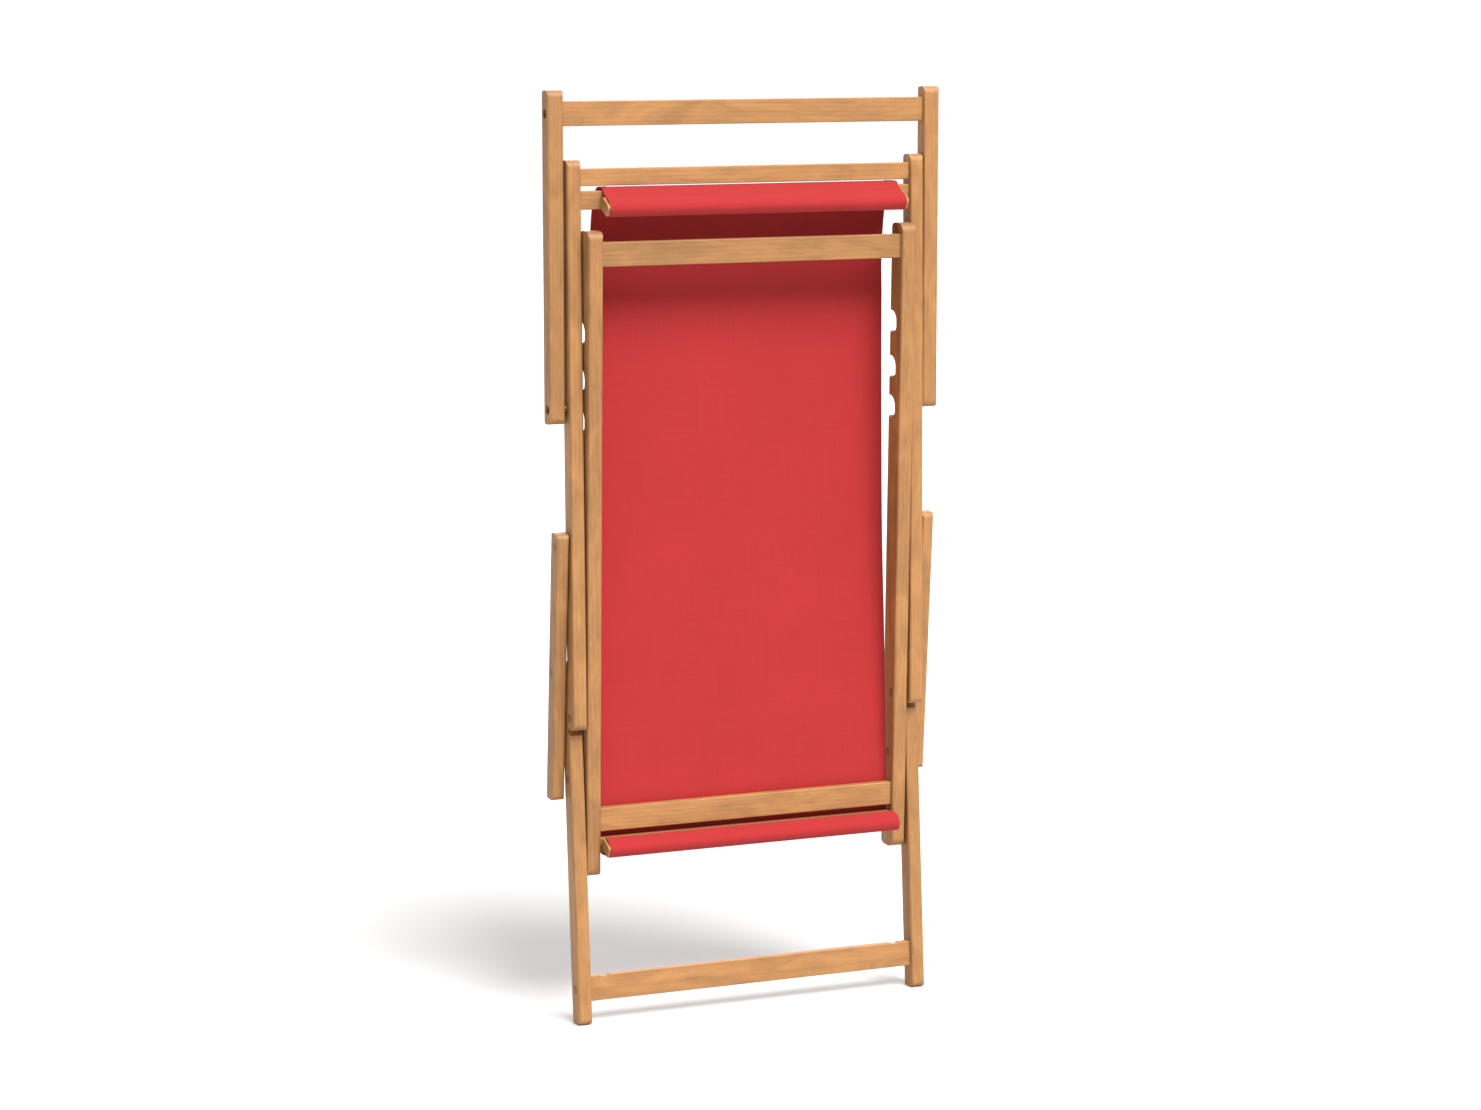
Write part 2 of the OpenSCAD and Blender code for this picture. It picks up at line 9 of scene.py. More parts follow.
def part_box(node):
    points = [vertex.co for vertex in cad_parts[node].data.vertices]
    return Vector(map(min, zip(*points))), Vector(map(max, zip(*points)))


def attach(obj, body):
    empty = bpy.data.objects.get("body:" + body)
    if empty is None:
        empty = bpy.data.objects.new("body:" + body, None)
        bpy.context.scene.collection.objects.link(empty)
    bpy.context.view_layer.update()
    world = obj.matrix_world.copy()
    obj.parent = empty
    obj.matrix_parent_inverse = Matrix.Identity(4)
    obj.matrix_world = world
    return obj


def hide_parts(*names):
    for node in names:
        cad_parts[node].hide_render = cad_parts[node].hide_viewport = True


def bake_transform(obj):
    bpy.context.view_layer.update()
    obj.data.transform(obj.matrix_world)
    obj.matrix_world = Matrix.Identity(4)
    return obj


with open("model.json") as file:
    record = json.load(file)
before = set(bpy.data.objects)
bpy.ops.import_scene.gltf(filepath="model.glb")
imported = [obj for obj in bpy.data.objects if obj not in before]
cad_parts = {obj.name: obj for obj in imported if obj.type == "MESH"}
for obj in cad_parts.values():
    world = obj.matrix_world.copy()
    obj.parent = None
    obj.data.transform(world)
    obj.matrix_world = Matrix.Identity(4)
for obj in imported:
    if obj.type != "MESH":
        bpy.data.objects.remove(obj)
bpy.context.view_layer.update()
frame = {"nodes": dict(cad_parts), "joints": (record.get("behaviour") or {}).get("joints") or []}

# ---- Camera ----
# It stands four and a half metres in front of the folded chair and well to its left, a
# little above it, and looks slightly down through a long lens.
camera_data = bpy.data.cameras.new("camera")
camera_data.sensor_width = 36.0
camera_data.lens = 89.264
camera_data.clip_end = 60.0
camera = bpy.data.objects.new("camera", camera_data)
bpy.context.scene.collection.objects.link(camera)
camera_place = (-1.90295, -4.49103, 1.30093)
camera_turn = math.radians(-22.869)
camera_tilt = math.radians(90 - 7.990)
camera_roll = math.radians(-0.331)
camera.matrix_world = (
    Matrix.Translation(camera_place)
    @ Matrix.Rotation(camera_turn, 4, "Z")
    @ Matrix.Rotation(camera_tilt, 4, "X")
    @ Matrix.Rotation(camera_roll, 4, "Z")
)
bpy.context.scene.camera = camera


# ---- Studio: floor and lights ----
# A pale painted studio floor that runs on into a white surround. A broad soft light comes
# from high in front, slightly to the right, and a weaker one from behind lights the back.
def linear(hex_code):
    """An sRGB colour, written #RRGGBB, as linear red, green, blue and an alpha of 1."""
    parts = [int(hex_code[i:i + 2], 16) / 255 for i in (1, 3, 5)]
    return [p / 12.92 if p <= 0.04045 else ((p + 0.055) / 1.055) ** 2.4 for p in parts] + [1.0]


def add_node(tree, kind, inputs=None, **settings):
    """Adds a node. inputs gives, by socket name or number, a value or the socket to link."""
    made = tree.nodes.new(kind)
    for name, value in settings.items():
        setattr(made, name, value)
    for key, value in (inputs or {}).items():
        if isinstance(value, bpy.types.NodeSocket):
            tree.links.new(value, made.inputs[key])
        else:
            made.inputs[key].default_value = value
    return made


def deselect():
    """Leaves nothing selected, so that an operator acts on the next new piece only."""
    bpy.ops.object.select_all(action="DESELECT")


deselect()
floor_size = 40
bpy.ops.mesh.primitive_plane_add(size=floor_size, location=(0, 0, 0))
studio_floor = bpy.context.object
studio_floor.name = "studio_floor"
paint = bpy.data.materials.new("white floor paint")
paint.use_nodes = True
paint_shader = paint.node_tree.nodes["Principled BSDF"]
paint_shader.inputs["Roughness"].default_value = 0.7
paint_shader.inputs["Base Color"].default_value = linear("#C6C6C5")
studio_floor.data.materials.append(paint)

surround = bpy.data.worlds.new("white surround")
bpy.context.scene.world = surround
surround.use_nodes = True
background = surround.node_tree.nodes["Background"]
background.inputs["Color"].default_value = (1.0, 0.997, 0.99, 1.0)
# the surround is white to look at, and lights the chair a little less than that
seen = add_node(surround.node_tree, "ShaderNodeLightPath")
glow = add_node(surround.node_tree, "ShaderNodeMapRange",
                {"Value": seen.outputs["Is Camera Ray"], "To Min": 0.7, "To Max": 1.05})
surround.node_tree.links.new(glow.outputs[0], background.inputs["Strength"])
bpy.context.scene.view_settings.view_transform = "Standard"


def soft_light(name, spread, strength, toward, tint):
    """A light as even as daylight, from a direction, with a soft edge set by its spread."""
    data = bpy.data.lights.new(name, "SUN")
    data.angle = math.radians(spread)
    data.energy = strength
    data.color = tint
    lamp = bpy.data.objects.new(name, data)
    bpy.context.scene.collection.objects.link(lamp)
    lamp.rotation_mode = "QUATERNION"
    lamp.rotation_quaternion = (-Vector(toward)).to_track_quat("-Z", "Y")


soft_light("key_light", spread=32, strength=5.25, toward=(0.14, -0.59, 0.79),
           tint=(1.0, 0.985, 0.96))
soft_light("rear_light", spread=60, strength=1.6, toward=(0.35, 0.72, 0.60),
           tint=(1.0, 1.0, 1.0))


# ---- Boards and rails ----
# Sawn teak, planed, sanded and rubbed with oil. Each board is cut from its own plank, so
# its grain lines, tone and figure differ, and the grain always runs along its length.
def teak(name, along, seed, tone):
    """Oiled teak for one board. along is the axis of its length, tone is 1 for a usual plank."""
    wood = bpy.data.materials.new("oiled teak " + name)
    wood.use_nodes = True
    tree = wood.node_tree
    shader = tree.nodes["Principled BSDF"]
    spread = np.random.default_rng(seed)
    here = add_node(tree, "ShaderNodeTexCoord")
    # the board's length is turned onto Z
    turn = (0, math.radians(-90), 0) if along == "X" else (0, 0, 0)
    board = add_node(tree, "ShaderNodeMapping", {"Vector": here.outputs["Object"],
                                                 "Rotation": turn})
    # the middle of the tree lies some centimetres outside the board, at a slight slant
    slant = [math.radians(a) for a in spread.uniform(-1.5, 1.5, 2)]
    heart = [*spread.uniform(0.035, 0.09, 2), spread.uniform(0, 5)]
    log = add_node(tree, "ShaderNodeMapping", {"Vector": board.outputs[0],
                                               "Location": heart,
                                               "Rotation": (*slant, 0)})
    # growth rings 4 to 6 mm apart, pulled long where they wander
    stretched = add_node(tree, "ShaderNodeMapping", {"Vector": log.outputs[0],
                                                     "Scale": (1, 1, 0.07)})
    ring_pitch = spread.uniform(0.0042, 0.0065)
    rings = add_node(tree, "ShaderNodeTexWave",
                     {"Vector": stretched.outputs[0], "Scale": math.pi / 10 / ring_pitch,
                      "Distortion": 4.5, "Detail": 3.0, "Detail Scale": 0.35},
                     wave_type="RINGS", rings_direction="Z", wave_profile="SAW")
    # fibres 1 mm wide and 70 mm long, and open pores 2 mm by 40 mm, as coarse as still shows
    fibre_lines = add_node(tree, "ShaderNodeMapping", {"Vector": log.outputs[0],
                                                       "Scale": (1, 1, 0.016)})
    fibres = add_node(tree, "ShaderNodeTexNoise", {"Vector": fibre_lines.outputs[0],
                                                   "Scale": 900.0, "Detail": 5.0,
                                                   "Roughness": 0.7})
    pore_lines = add_node(tree, "ShaderNodeMapping", {"Vector": log.outputs[0],
                                                      "Scale": (1, 1, 0.05)})
    pores = add_node(tree, "ShaderNodeTexNoise", {"Vector": pore_lines.outputs[0],
                                                  "Scale": 520.0, "Detail": 2.0})
    # soft clouds of figure, 30 mm across and 80 mm long
    cloud_lines = add_node(tree, "ShaderNodeMapping", {"Vector": log.outputs[0],
                                                       "Scale": (1, 1, 0.35)})
    clouds = add_node(tree, "ShaderNodeTexNoise", {"Vector": cloud_lines.outputs[0],
                                                   "Scale": 36.0, "Detail": 4.0,
                                                   "Distortion": 1.2})
    late_share = 0.84
    early = [c * tone for c in linear("#A87643")[:3]] + [1.0]
    late = [late_share * c for c in early[:3]] + [1.0]
    ring_ramp = add_node(tree, "ShaderNodeValToRGB", {"Fac": rings.outputs["Fac"]})
    ring_ramp.color_ramp.elements[0].color = early
    ring_ramp.color_ramp.elements[1].color = late
    ring_ramp.color_ramp.elements[0].position = 0.35
    ring_ramp.color_ramp.elements.new(0.82).color = [(e + l) / 2 for e, l in zip(early, late)]
    cloud_tone = add_node(tree, "ShaderNodeMapRange", {"Value": clouds.outputs["Fac"],
                                                       "From Min": 0.32, "From Max": 0.68,
                                                       "To Min": 0.80, "To Max": 1.10})
    fibre_tone = add_node(tree, "ShaderNodeMapRange", {"Value": fibres.outputs["Fac"],
                                                       "From Min": 0.3, "From Max": 0.7,
                                                       "To Min": 0.88, "To Max": 1.06})
    pore_tone = add_node(tree, "ShaderNodeMapRange", {"Value": pores.outputs["Fac"],
                                                      "From Min": 0.62, "From Max": 0.74,
                                                      "To Min": 1.0, "To Max": 0.74})
    # end grain drinks more oil and is darker: it shows where the surface faces along the board
    ends = add_node(tree, "ShaderNodeVectorMath",
                    {0: here.outputs["Normal"],
                     1: (1, 0, 0) if along == "X" else (0, 0, 1)}, operation="DOT_PRODUCT")
    ends_size = add_node(tree, "ShaderNodeMath", {0: ends.outputs["Value"]},
                         operation="ABSOLUTE")
    end_tone = add_node(tree, "ShaderNodeMapRange", {"Value": ends_size.outputs[0],
                                                     "From Min": 0.72, "From Max": 0.95,
                                                     "To Min": 1.0, "To Max": 0.80})
    shade = cloud_tone
    for next_tone in (fibre_tone, pore_tone, end_tone):
        shade = add_node(tree, "ShaderNodeMath", {0: shade.outputs[0],
                                                  1: next_tone.outputs[0]},
                         operation="MULTIPLY")
    tinted = add_node(tree, "ShaderNodeVectorMath", {0: ring_ramp.outputs["Color"],
                                                     "Scale": shade.outputs[0]},
                      operation="SCALE")
    tree.links.new(tinted.outputs[0], shader.inputs["Base Color"])
    gloss = add_node(tree, "ShaderNodeMapRange", {"Value": fibres.outputs["Fac"],
                                                  "From Min": 0.3, "From Max": 0.7,
                                                  "To Min": 0.62, "To Max": 0.46})
    tree.links.new(gloss.outputs[0], shader.inputs["Roughness"])
    relief = add_node(tree, "ShaderNodeMath", {0: fibres.outputs["Fac"],
                                               1: pore_tone.outputs[0]}, operation="ADD")
    bump = add_node(tree, "ShaderNodeBump", {"Height": relief.outputs[0], "Strength": 0.35,
                                             "Distance": 0.0004})
    tree.links.new(bump.outputs[0], shader.inputs["Normal"])
    return wood


def give_finish(piece, material):
    """Leaves a piece with this material and no other."""
    piece.data.materials.clear()
    piece.data.materials.append(material)


# each board's long axis, and how light or dark it is drawn: mostly the plank's own tone, with
# some painted shade in armrest_left
boards = {
    "back_upright_left": ("Z", 0.93), "back_upright_right": ("Z", 0.98),
    "seat_upright_left": ("Z", 0.86), "seat_upright_right": ("Z", 0.93),
    "leg_left": ("Z", 0.96), "leg_right": ("Z", 0.86),
    "prop_upright_left": ("Z", 0.82), "prop_upright_right": ("Z", 0.94),
    # armrest_left is drawn darker than its plank, partly as painted shade standing in for the
    # shade on its side
    "armrest_left": ("Z", 0.85), "armrest_right": ("Z", 0.97),
    "back_top_rail": ("X", 1.00), "back_sling_rail": ("X", 0.88),
    "rear_foot_rail": ("X", 0.82), "seat_front_rail": ("X", 1.01),
    "seat_sling_rail": ("X", 0.96), "leg_rail": ("X", 0.96), "prop_rail": ("X", 0.94),
    "top_sling_rod": ("X", 1.12), "bottom_sling_rod": ("X", 1.08),
}
first_plank = 11
for plank, (board_name, (length_axis, board_tone)) in enumerate(boards.items(), first_plank):
    give_finish(frame["nodes"][board_name], teak(board_name, length_axis, plank, board_tone))


# ---- Plugs and dowels ----
# Short plugs cut across a teak rod and glued over the sunk bolt heads, and the dowels of
# the rail joints. Their end grain has drunk more oil, so they are a shade darker.
def end_grain():
    """End grain of a small plug: fine rings and dots, with no lengthwise fibres."""
    wood = bpy.data.materials.new("teak end grain")
    wood.use_nodes = True
    tree = wood.node_tree
    shader = tree.nodes["Principled BSDF"]
    here = add_node(tree, "ShaderNodeTexCoord")
    rings = add_node(tree, "ShaderNodeTexWave",
                     {"Vector": here.outputs["Object"], "Scale": 150.0, "Distortion": 6.0,
                      "Detail": 2.0, "Detail Scale": 0.6}, wave_type="BANDS",
                     bands_direction="DIAGONAL")
    dots = add_node(tree, "ShaderNodeTexVoronoi", {"Vector": here.outputs["Object"],
                                                   "Scale": 1100.0})
    dot_tone = add_node(tree, "ShaderNodeMapRange", {"Value": dots.outputs["Distance"],
                                                     "From Max": 0.5, "To Min": 0.7,
                                                     "To Max": 1.0})
    ramp = add_node(tree, "ShaderNodeValToRGB", {"Fac": rings.outputs["Fac"]})
    ramp.color_ramp.elements[0].color = linear("#875B37")
    ramp.color_ramp.elements[1].color = linear("#6A4324")
    tinted = add_node(tree, "ShaderNodeVectorMath", {0: ramp.outputs["Color"],
                                                     "Scale": dot_tone.outputs[0]},
                      operation="SCALE")
    tree.links.new(tinted.outputs[0], shader.inputs["Base Color"])
    shader.inputs["Roughness"].default_value = 0.6
    bump = add_node(tree, "ShaderNodeBump", {"Height": dot_tone.outputs[0], "Strength": 0.3,
                                             "Distance": 0.0003})
    tree.links.new(bump.outputs[0], shader.inputs["Normal"])
    return wood


plug_wood = end_grain()
for plug_node in ("main_pivot_plugs", "seat_pivot_plugs", "leg_plugs", "armrest_left_plugs",
                  "armrest_right_plugs", "back_rail_dowels", "seat_rail_dowels"):
    give_finish(frame["nodes"][plug_node], plug_wood)


# ---- Bolts, nuts and washers ----
# Passivated steel, turned dark bronze, cloudy and with a fine grain. The prop's bolts and
# screws sit in open counterbores and show their drive recesses.
def bronzed_steel():
    """Dark bronze-toned passivated steel, cloudy and slightly rubbed."""
    steel = bpy.data.materials.new("bronzed steel")
    steel.use_nodes = True
    tree = steel.node_tree
    shader = tree.nodes["Principled BSDF"]
    shader.inputs["Metallic"].default_value = 1.0
    here = add_node(tree, "ShaderNodeTexCoord")
    clouds = add_node(tree, "ShaderNodeTexNoise", {"Vector": here.outputs["Object"],
                                                   "Scale": 260.0, "Detail": 4.0})
    ramp = add_node(tree, "ShaderNodeValToRGB", {"Fac": clouds.outputs["Fac"]})
    ramp.color_ramp.elements[0].color = linear("#4A3A2C")
    ramp.color_ramp.elements[1].color = linear("#8B735A")
    ramp.color_ramp.elements[0].position = 0.35
    ramp.color_ramp.elements[1].position = 0.75
    tree.links.new(ramp.outputs["Color"], shader.inputs["Base Color"])
    gloss = add_node(tree, "ShaderNodeMapRange", {"Value": clouds.outputs["Fac"],
                                                  "To Min": 0.28, "To Max": 0.5})
    tree.links.new(gloss.outputs[0], shader.inputs["Roughness"])
    grain = add_node(tree, "ShaderNodeTexNoise", {"Vector": here.outputs["Object"],
                                                  "Scale": 2400.0, "Detail": 2.0})
    bump = add_node(tree, "ShaderNodeBump", {"Height": grain.outputs["Fac"],
                                             "Strength": 0.15, "Distance": 0.0001})
    tree.links.new(bump.outputs[0], shader.inputs["Normal"])
    return steel


steel_finish = bronzed_steel()
for steel_node in ("main_pivot_bolts", "main_pivot_nuts", "main_pivot_washers",
                   "leg_pivot_bolts", "leg_pivot_nuts", "leg_pivot_washers",
                   "arm_pivot_bolts", "arm_pivot_nuts", "arm_pivot_washers",
                   "prop_pivot_bolts", "prop_pivot_nuts", "prop_pivot_washers",
                   "armrest_left_front_bolt", "armrest_right_front_bolt",
                   "leg_top_inserts", "leg_top_washers", "leg_rail_screws",
                   "prop_rail_screws"):
    give_finish(frame["nodes"][steel_node], steel_finish)


def select_only(piece):
    """Selects one piece and makes it the active one."""
    deselect()
    piece.select_set(True)
    bpy.context.view_layer.objects.active = piece


def apply_all(piece):
    """Applies every modifier of a piece, in order."""
    bpy.context.view_layer.objects.active = piece
    for modifier in list(piece.modifiers):
        bpy.ops.object.modifier_apply(modifier=modifier.name)


def headed_pair(name, cad_node, body, shank_radius, shank_length, recess_radius, recess_sides):
    """A bolt or screw at each side in place of a CAD node: a bevelled head with a recess."""
    low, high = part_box(cad_node)
    middle_y, middle_z = (low.y + high.y) / 2, (low.z + high.z) / 2
    head_radius = (high.z - low.z) / 2
    head_height = 0.003
    recess_depth = 0.0018
    deselect()
    bpy.ops.mesh.primitive_cylinder_add(vertices=48, radius=head_radius, depth=head_height,
                                        location=(high.x - head_height / 2, middle_y, middle_z),
                                        rotation=(0, math.radians(90), 0))
    head = bpy.context.object
    bpy.ops.object.transform_apply(location=True, rotation=True, scale=True)
    rim = head.modifiers.new("rim", "BEVEL")
    rim.width = 0.0006
    rim.segments = 3
    rim.limit_method = "ANGLE"
    apply_all(head)
    deselect()
    bpy.ops.mesh.primitive_cylinder_add(vertices=recess_sides, radius=recess_radius,
                                        depth=2 * recess_depth,
                                        location=(high.x, middle_y, middle_z),
                                        rotation=(0, math.radians(90), 0))
    drive = bpy.context.object
    bpy.ops.object.transform_apply(location=True, rotation=True, scale=True)
    sunk = head.modifiers.new("drive", "BOOLEAN")
    sunk.operation = "DIFFERENCE"
    sunk.object = drive
    sunk.solver = "EXACT"
    apply_all(head)
    bpy.data.objects.remove(drive)
    deselect()
    shank_end = high.x - head_height - shank_length
    bpy.ops.mesh.primitive_cylinder_add(vertices=32, radius=shank_radius, depth=shank_length,
                                        location=((high.x - head_height + shank_end) / 2,
                                                  middle_y, middle_z),
                                        rotation=(0, math.radians(90), 0))
    shank = bpy.context.object
    bpy.ops.object.transform_apply(location=True, rotation=True, scale=True)
    tip = shank.modifiers.new("tip", "BEVEL")
    tip.width = 0.0007
    tip.segments = 2
    tip.limit_method = "ANGLE"
    apply_all(shank)
    select_only(head)
    shank.select_set(True)
    bpy.ops.object.join()
    bpy.ops.object.shade_smooth_by_angle(angle=math.radians(35))
    other = head.copy()
    other.data = head.data.copy()
    bpy.context.scene.collection.objects.link(other)
    other.data.transform(Matrix.Translation((0, 2 * middle_y, 0))
                         @ Matrix.Rotation(math.pi, 4, "Z"))
    for side, piece in (("right", head), ("left", other)):
        piece.name = name + "_" + side
        give_finish(piece, steel_finish)
        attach(piece, body)
    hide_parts(cad_node)


headed_pair("prop_bolt", "prop_pivot_bolts", "prop_frame", shank_radius=0.003,
            shank_length=0.0385, recess_radius=0.0024, recess_sides=6)
headed_pair("prop_screw", "prop_rail_screws", "prop_frame", shank_radius=0.0025,
            shank_length=0.046, recess_radius=0.0022, recess_sides=4)


# ---- Sling ----
# One strip of heavy red canvas. Each end is turned round a teak rod and stitched into a
# sleeve. From the top rod it passes over the back sling rail and hangs as a loose belly on
# the sitting side, then goes down behind the front rails and under the lower one.
cloth_thickness = 0.001
cloth_clear = 0.0004
hem_clear = 0.0001
rod_half_thick, rod_half_wide = 0.008, 0.013
rod_corner = 0.0025
sleeve_gap = 0.0003 + cloth_thickness / 2
# the sleeves sit a little full on their rods: 2 would be an ellipse, 4 nearly a box
sleeve_slack = 0.0022
sleeve_fullness = 2.6
main_pivot = Vector(next(j for j in frame["joints"] if j["name"] == "back_fold")["pos_m"])
seat_lean = math.radians(-2.4)
top_rod_lean = math.radians(61)
bottom_rod_lean = math.radians(70 - 2.4)


def leaned(p, a):
    """Turns a (y, z) offset so that its upper end leans back by a."""
    return np.array([p[0] * math.cos(a) + p[1] * math.sin(a),
                     p[1] * math.cos(a) - p[0] * math.sin(a)])


def box_middle(node):
    """The middle of a CAD node, as (y, z)."""
    low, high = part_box(node)
    return np.array([(low.y + high.y) / 2, (low.z + high.z) / 2])


def rod_arc(centre, lean, first, last, steps):
    """Points of the cloth round a rod, from one direction to another, in degrees."""
    points = []
    for turn in np.radians(np.linspace(first, last, steps)):
        side, end = math.cos(turn), math.sin(turn)
        local = (math.copysign(abs(side) ** (2 / sleeve_fullness), side)
                 * (rod_half_thick + sleeve_slack),
                 math.copysign(abs(end) ** (2 / sleeve_fullness), end)
                 * (rod_half_wide + sleeve_slack))
        points.append(centre + leaned(local, lean))
    return points


def smooth_line(knots, steps):
    """A smooth curve through all the knots but the first and last, which only steer it."""
    points = []
    for p, q, r, s in zip(knots, knots[1:], knots[2:], knots[3:]):
        p, q, r, s = (np.array(k) for k in (p, q, r, s))
        for t in np.linspace(0, 1, steps, endpoint=False):
            points.append(0.5 * (2 * q + (r - p) * t + (2 * p - 5 * q + 4 * r - s) * t ** 2
                                 + (3 * q - p - 3 * r + s) * t ** 3))
    return points


# the hem of the top sleeve lies under the cloth, between the rod and the slot
top_rod = box_middle("top_sling_rod")
slot_rail_low, slot_rail_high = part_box("back_sling_rail")
above_sling_rail = 0.0036
slot_front = np.array([slot_rail_low.y, slot_rail_high.z + above_sling_rail])
leaves_rod = top_rod + leaned((-rod_half_thick - sleeve_gap, rod_half_wide - rod_corner),
                              top_rod_lean)
to_slot = (slot_front - leaves_rod) / np.linalg.norm(slot_front - leaves_rod)
under_cloth = np.array([to_slot[1], -to_slot[0]]) * (cloth_thickness + hem_clear)
top_hem_steps = (0.0125, 0.008, 0.004)
top_hem = [leaves_rod + to_slot * d + under_cloth for d in top_hem_steps]
top_sleeve = (
    top_hem
    + rod_arc(top_rod, top_rod_lean, first=90, last=-180, steps=31)
    + [leaves_rod]
)
# over the sling rail, and down in a belly: distances behind and above the main pivot
pivot_place = np.array([main_pivot.y, main_pivot.z])
belly_knots = [pivot_place + np.array(p) for p in (
    (-0.0200, 0.6940), (-0.0105, 0.6976), (0.0015, 0.6980), (0.0120, 0.6940),
    (0.0205, 0.6790), (0.0270, 0.6500), (0.0330, 0.5900), (0.0355, 0.4800),
    (0.0355, 0.3500), (0.0340, 0.2350), (0.0295, 0.1500), (0.0215, 0.0700),
    (0.0150, 0.0050), (0.0128, -0.0600))]
front_low, front_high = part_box("seat_front_rail")
under_low, under_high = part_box("seat_sling_rail")
cloth_off = cloth_clear + cloth_thickness / 2
rail_edge = 0.0015
rail_thickness = 0.0115
bend_reach = rail_edge + cloth_off
under_corner = (np.array([under_high.y, under_low.z - rail_thickness * math.sin(seat_lean)])
                + leaned((-rail_edge, rail_edge), seat_lean))
under_bend = [under_corner + leaned((bend_reach * math.cos(a), -bend_reach * math.sin(a)),
                                    seat_lean)
              for a in np.radians(np.linspace(0, 90, 7))]


def behind_seat(z):
    """The cloth's place at a height z where it lies against the back of the front rails."""
    back = front_high.y + (front_low.z - z) * math.tan(-seat_lean)
    return np.array([back + cloth_off + cloth_clear, z])


belly_knots += [behind_seat(front_high.z), behind_seat(front_low.z)]
panel = smooth_line(belly_knots + [under_bend[0], under_bend[1]], steps=12)
# forward under the rail and round the bottom rod, with the hem folded in under the rod
bottom_rod = box_middle("bottom_sling_rod")
bottom_hem_steps = (0.006, 0.001, -0.004)
bottom_sleeve = (
    rod_arc(bottom_rod, bottom_rod_lean, first=-35, last=-320, steps=33)
    + [bottom_rod + leaned((rod_half_thick + sleeve_gap, d), bottom_rod_lean)
       for d in bottom_hem_steps]
)
under_front = under_bend[-1] + leaned((rail_edge - rail_thickness, 0), seat_lean)
route = top_sleeve + panel + under_bend + [under_front] + bottom_sleeve


def even_steps(points, coarse, fine, tight):
    """Splits a line into steps: fine ones nearer to a rod than tight, coarse ones elsewhere."""
    out = [points[0]]
    for a, b in zip(points, points[1:]):
        gap = np.linalg.norm(b - a)
        if gap < 1e-6:
            continue
        near_rod = any(np.linalg.norm(b - c) < tight for c in (top_rod, bottom_rod))
        pieces = max(1, round(gap / (fine if near_rod else coarse)))
        out += [a + (b - a) * k / pieces for k in range(1, pieces + 1)]
    return out


rows = even_steps(route, coarse=0.008, fine=0.003, tight=0.03)
row_place = np.array(rows)
row_run = np.concatenate([[0], np.cumsum(np.linalg.norm(np.diff(row_place, axis=0), axis=1))])
cloth_length = float(row_run[-1])
sling_low, sling_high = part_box("sling_seat")
# the canvas reaches a little further left than the CAD strip that it stands for
extra_width = 0.003
cloth_width = sling_high.x - sling_low.x + extra_width
body_middle = (sling_high.x + sling_low.x - extra_width) / 2
top_low, top_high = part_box("top_sling_rod")
top_middle = (top_low.x + top_high.x) / 2
# the top sleeve has slid a little along its rod, and the cloth eases back over 150 mm
ease_start, ease_length = 0.11, 0.15
ease = np.clip((row_run - ease_start) / ease_length, 0, 1)
row_middle = top_middle + (body_middle - top_middle) * ease * ease * (3 - 2 * ease)
columns = 56

deselect()
bpy.ops.mesh.primitive_grid_add(x_subdivisions=columns, y_subdivisions=len(rows) - 1,
                                size=1, location=(0, 0, 0))
sling = bpy.context.object
sling.name = "sling"
flat = np.array([v.co for v in sling.data.vertices])
across = flat[:, 0] + 0.5
row_number = np.rint((flat[:, 1] + 0.5) * (len(rows) - 1)).astype(int)
laid = np.column_stack([row_middle[row_number] + (across - 0.5) * cloth_width,
                        row_place[row_number]])
sling.data.vertices.foreach_set("co", laid.astype(np.float32).ravel())
cloth_map = sling.data.uv_layers[0]
cloth_map.name = "cloth"
for loop in sling.data.loops:
    v = loop.vertex_index
    cloth_map.data[loop.index].uv = (across[v] * cloth_width, row_run[row_number[v]])
sling.data.update()

# the belly is free between the sling rail and the front rails, and settles there
above_front_rail = 0.01
free_top = slot_rail_low.z
free_bottom = front_high.z + above_front_rail
fade = 0.12
free_share = np.clip((free_top - laid[:, 2]) / fade, 0, 1) * np.clip(
    (laid[:, 2] - free_bottom) / fade, 0, 1)
free_share[laid[:, 1] < slot_rail_high.y] = 0
held = sling.vertex_groups.new(name="held")
held.add([int(v) for v in np.nonzero(free_share == 0)[0]], 1.0, "REPLACE")
cloth = sling.modifiers.new("settle", "CLOTH")
cloth.settings.quality = 5
cloth.settings.mass = 0.45
cloth.settings.tension_stiffness = 25
cloth.settings.compression_stiffness = 25
cloth.settings.shear_stiffness = 12
cloth.settings.bending_stiffness = 12
cloth.settings.air_damping = 3
cloth.settings.vertex_group_mass = "held"
cloth.settings.effector_weights.gravity = 0.35
cloth.collision_settings.use_collision = False
last_frame = 24
cloth.point_cache.frame_end = last_frame
for step in range(1, last_frame + 1):
    bpy.context.scene.frame_set(step)
bpy.context.view_layer.objects.active = sling
bpy.ops.object.modifier_apply(modifier="settle")
bpy.context.scene.frame_set(1)
settled = np.array([v.co for v in sling.data.vertices])
# no point moves further than 8 mm, and less towards the ends of the free stretch
most_move = 0.008
move = settled - laid
size = np.linalg.norm(move, axis=1)
limit = most_move * np.tanh(size / most_move) / np.maximum(size, 1e-9)
laid = laid + move * (limit * free_share)[:, None]
sling.data.vertices.foreach_set("co", laid.astype(np.float32).ravel())
sling.data.update()
sling.vertex_groups.clear()

# grid of cloth points by row and column, and the outward normal at each
row_count = len(rows)
order = np.lexsort((np.rint(across * columns), row_number))
grid = laid[order].reshape(row_count, columns + 1, 3)
along_cloth = np.gradient(grid, axis=0)
over_cloth = np.gradient(grid, axis=1)
faces_out = np.cross(over_cloth, along_cloth)
faces_out /= np.linalg.norm(faces_out, axis=2, keepdims=True)


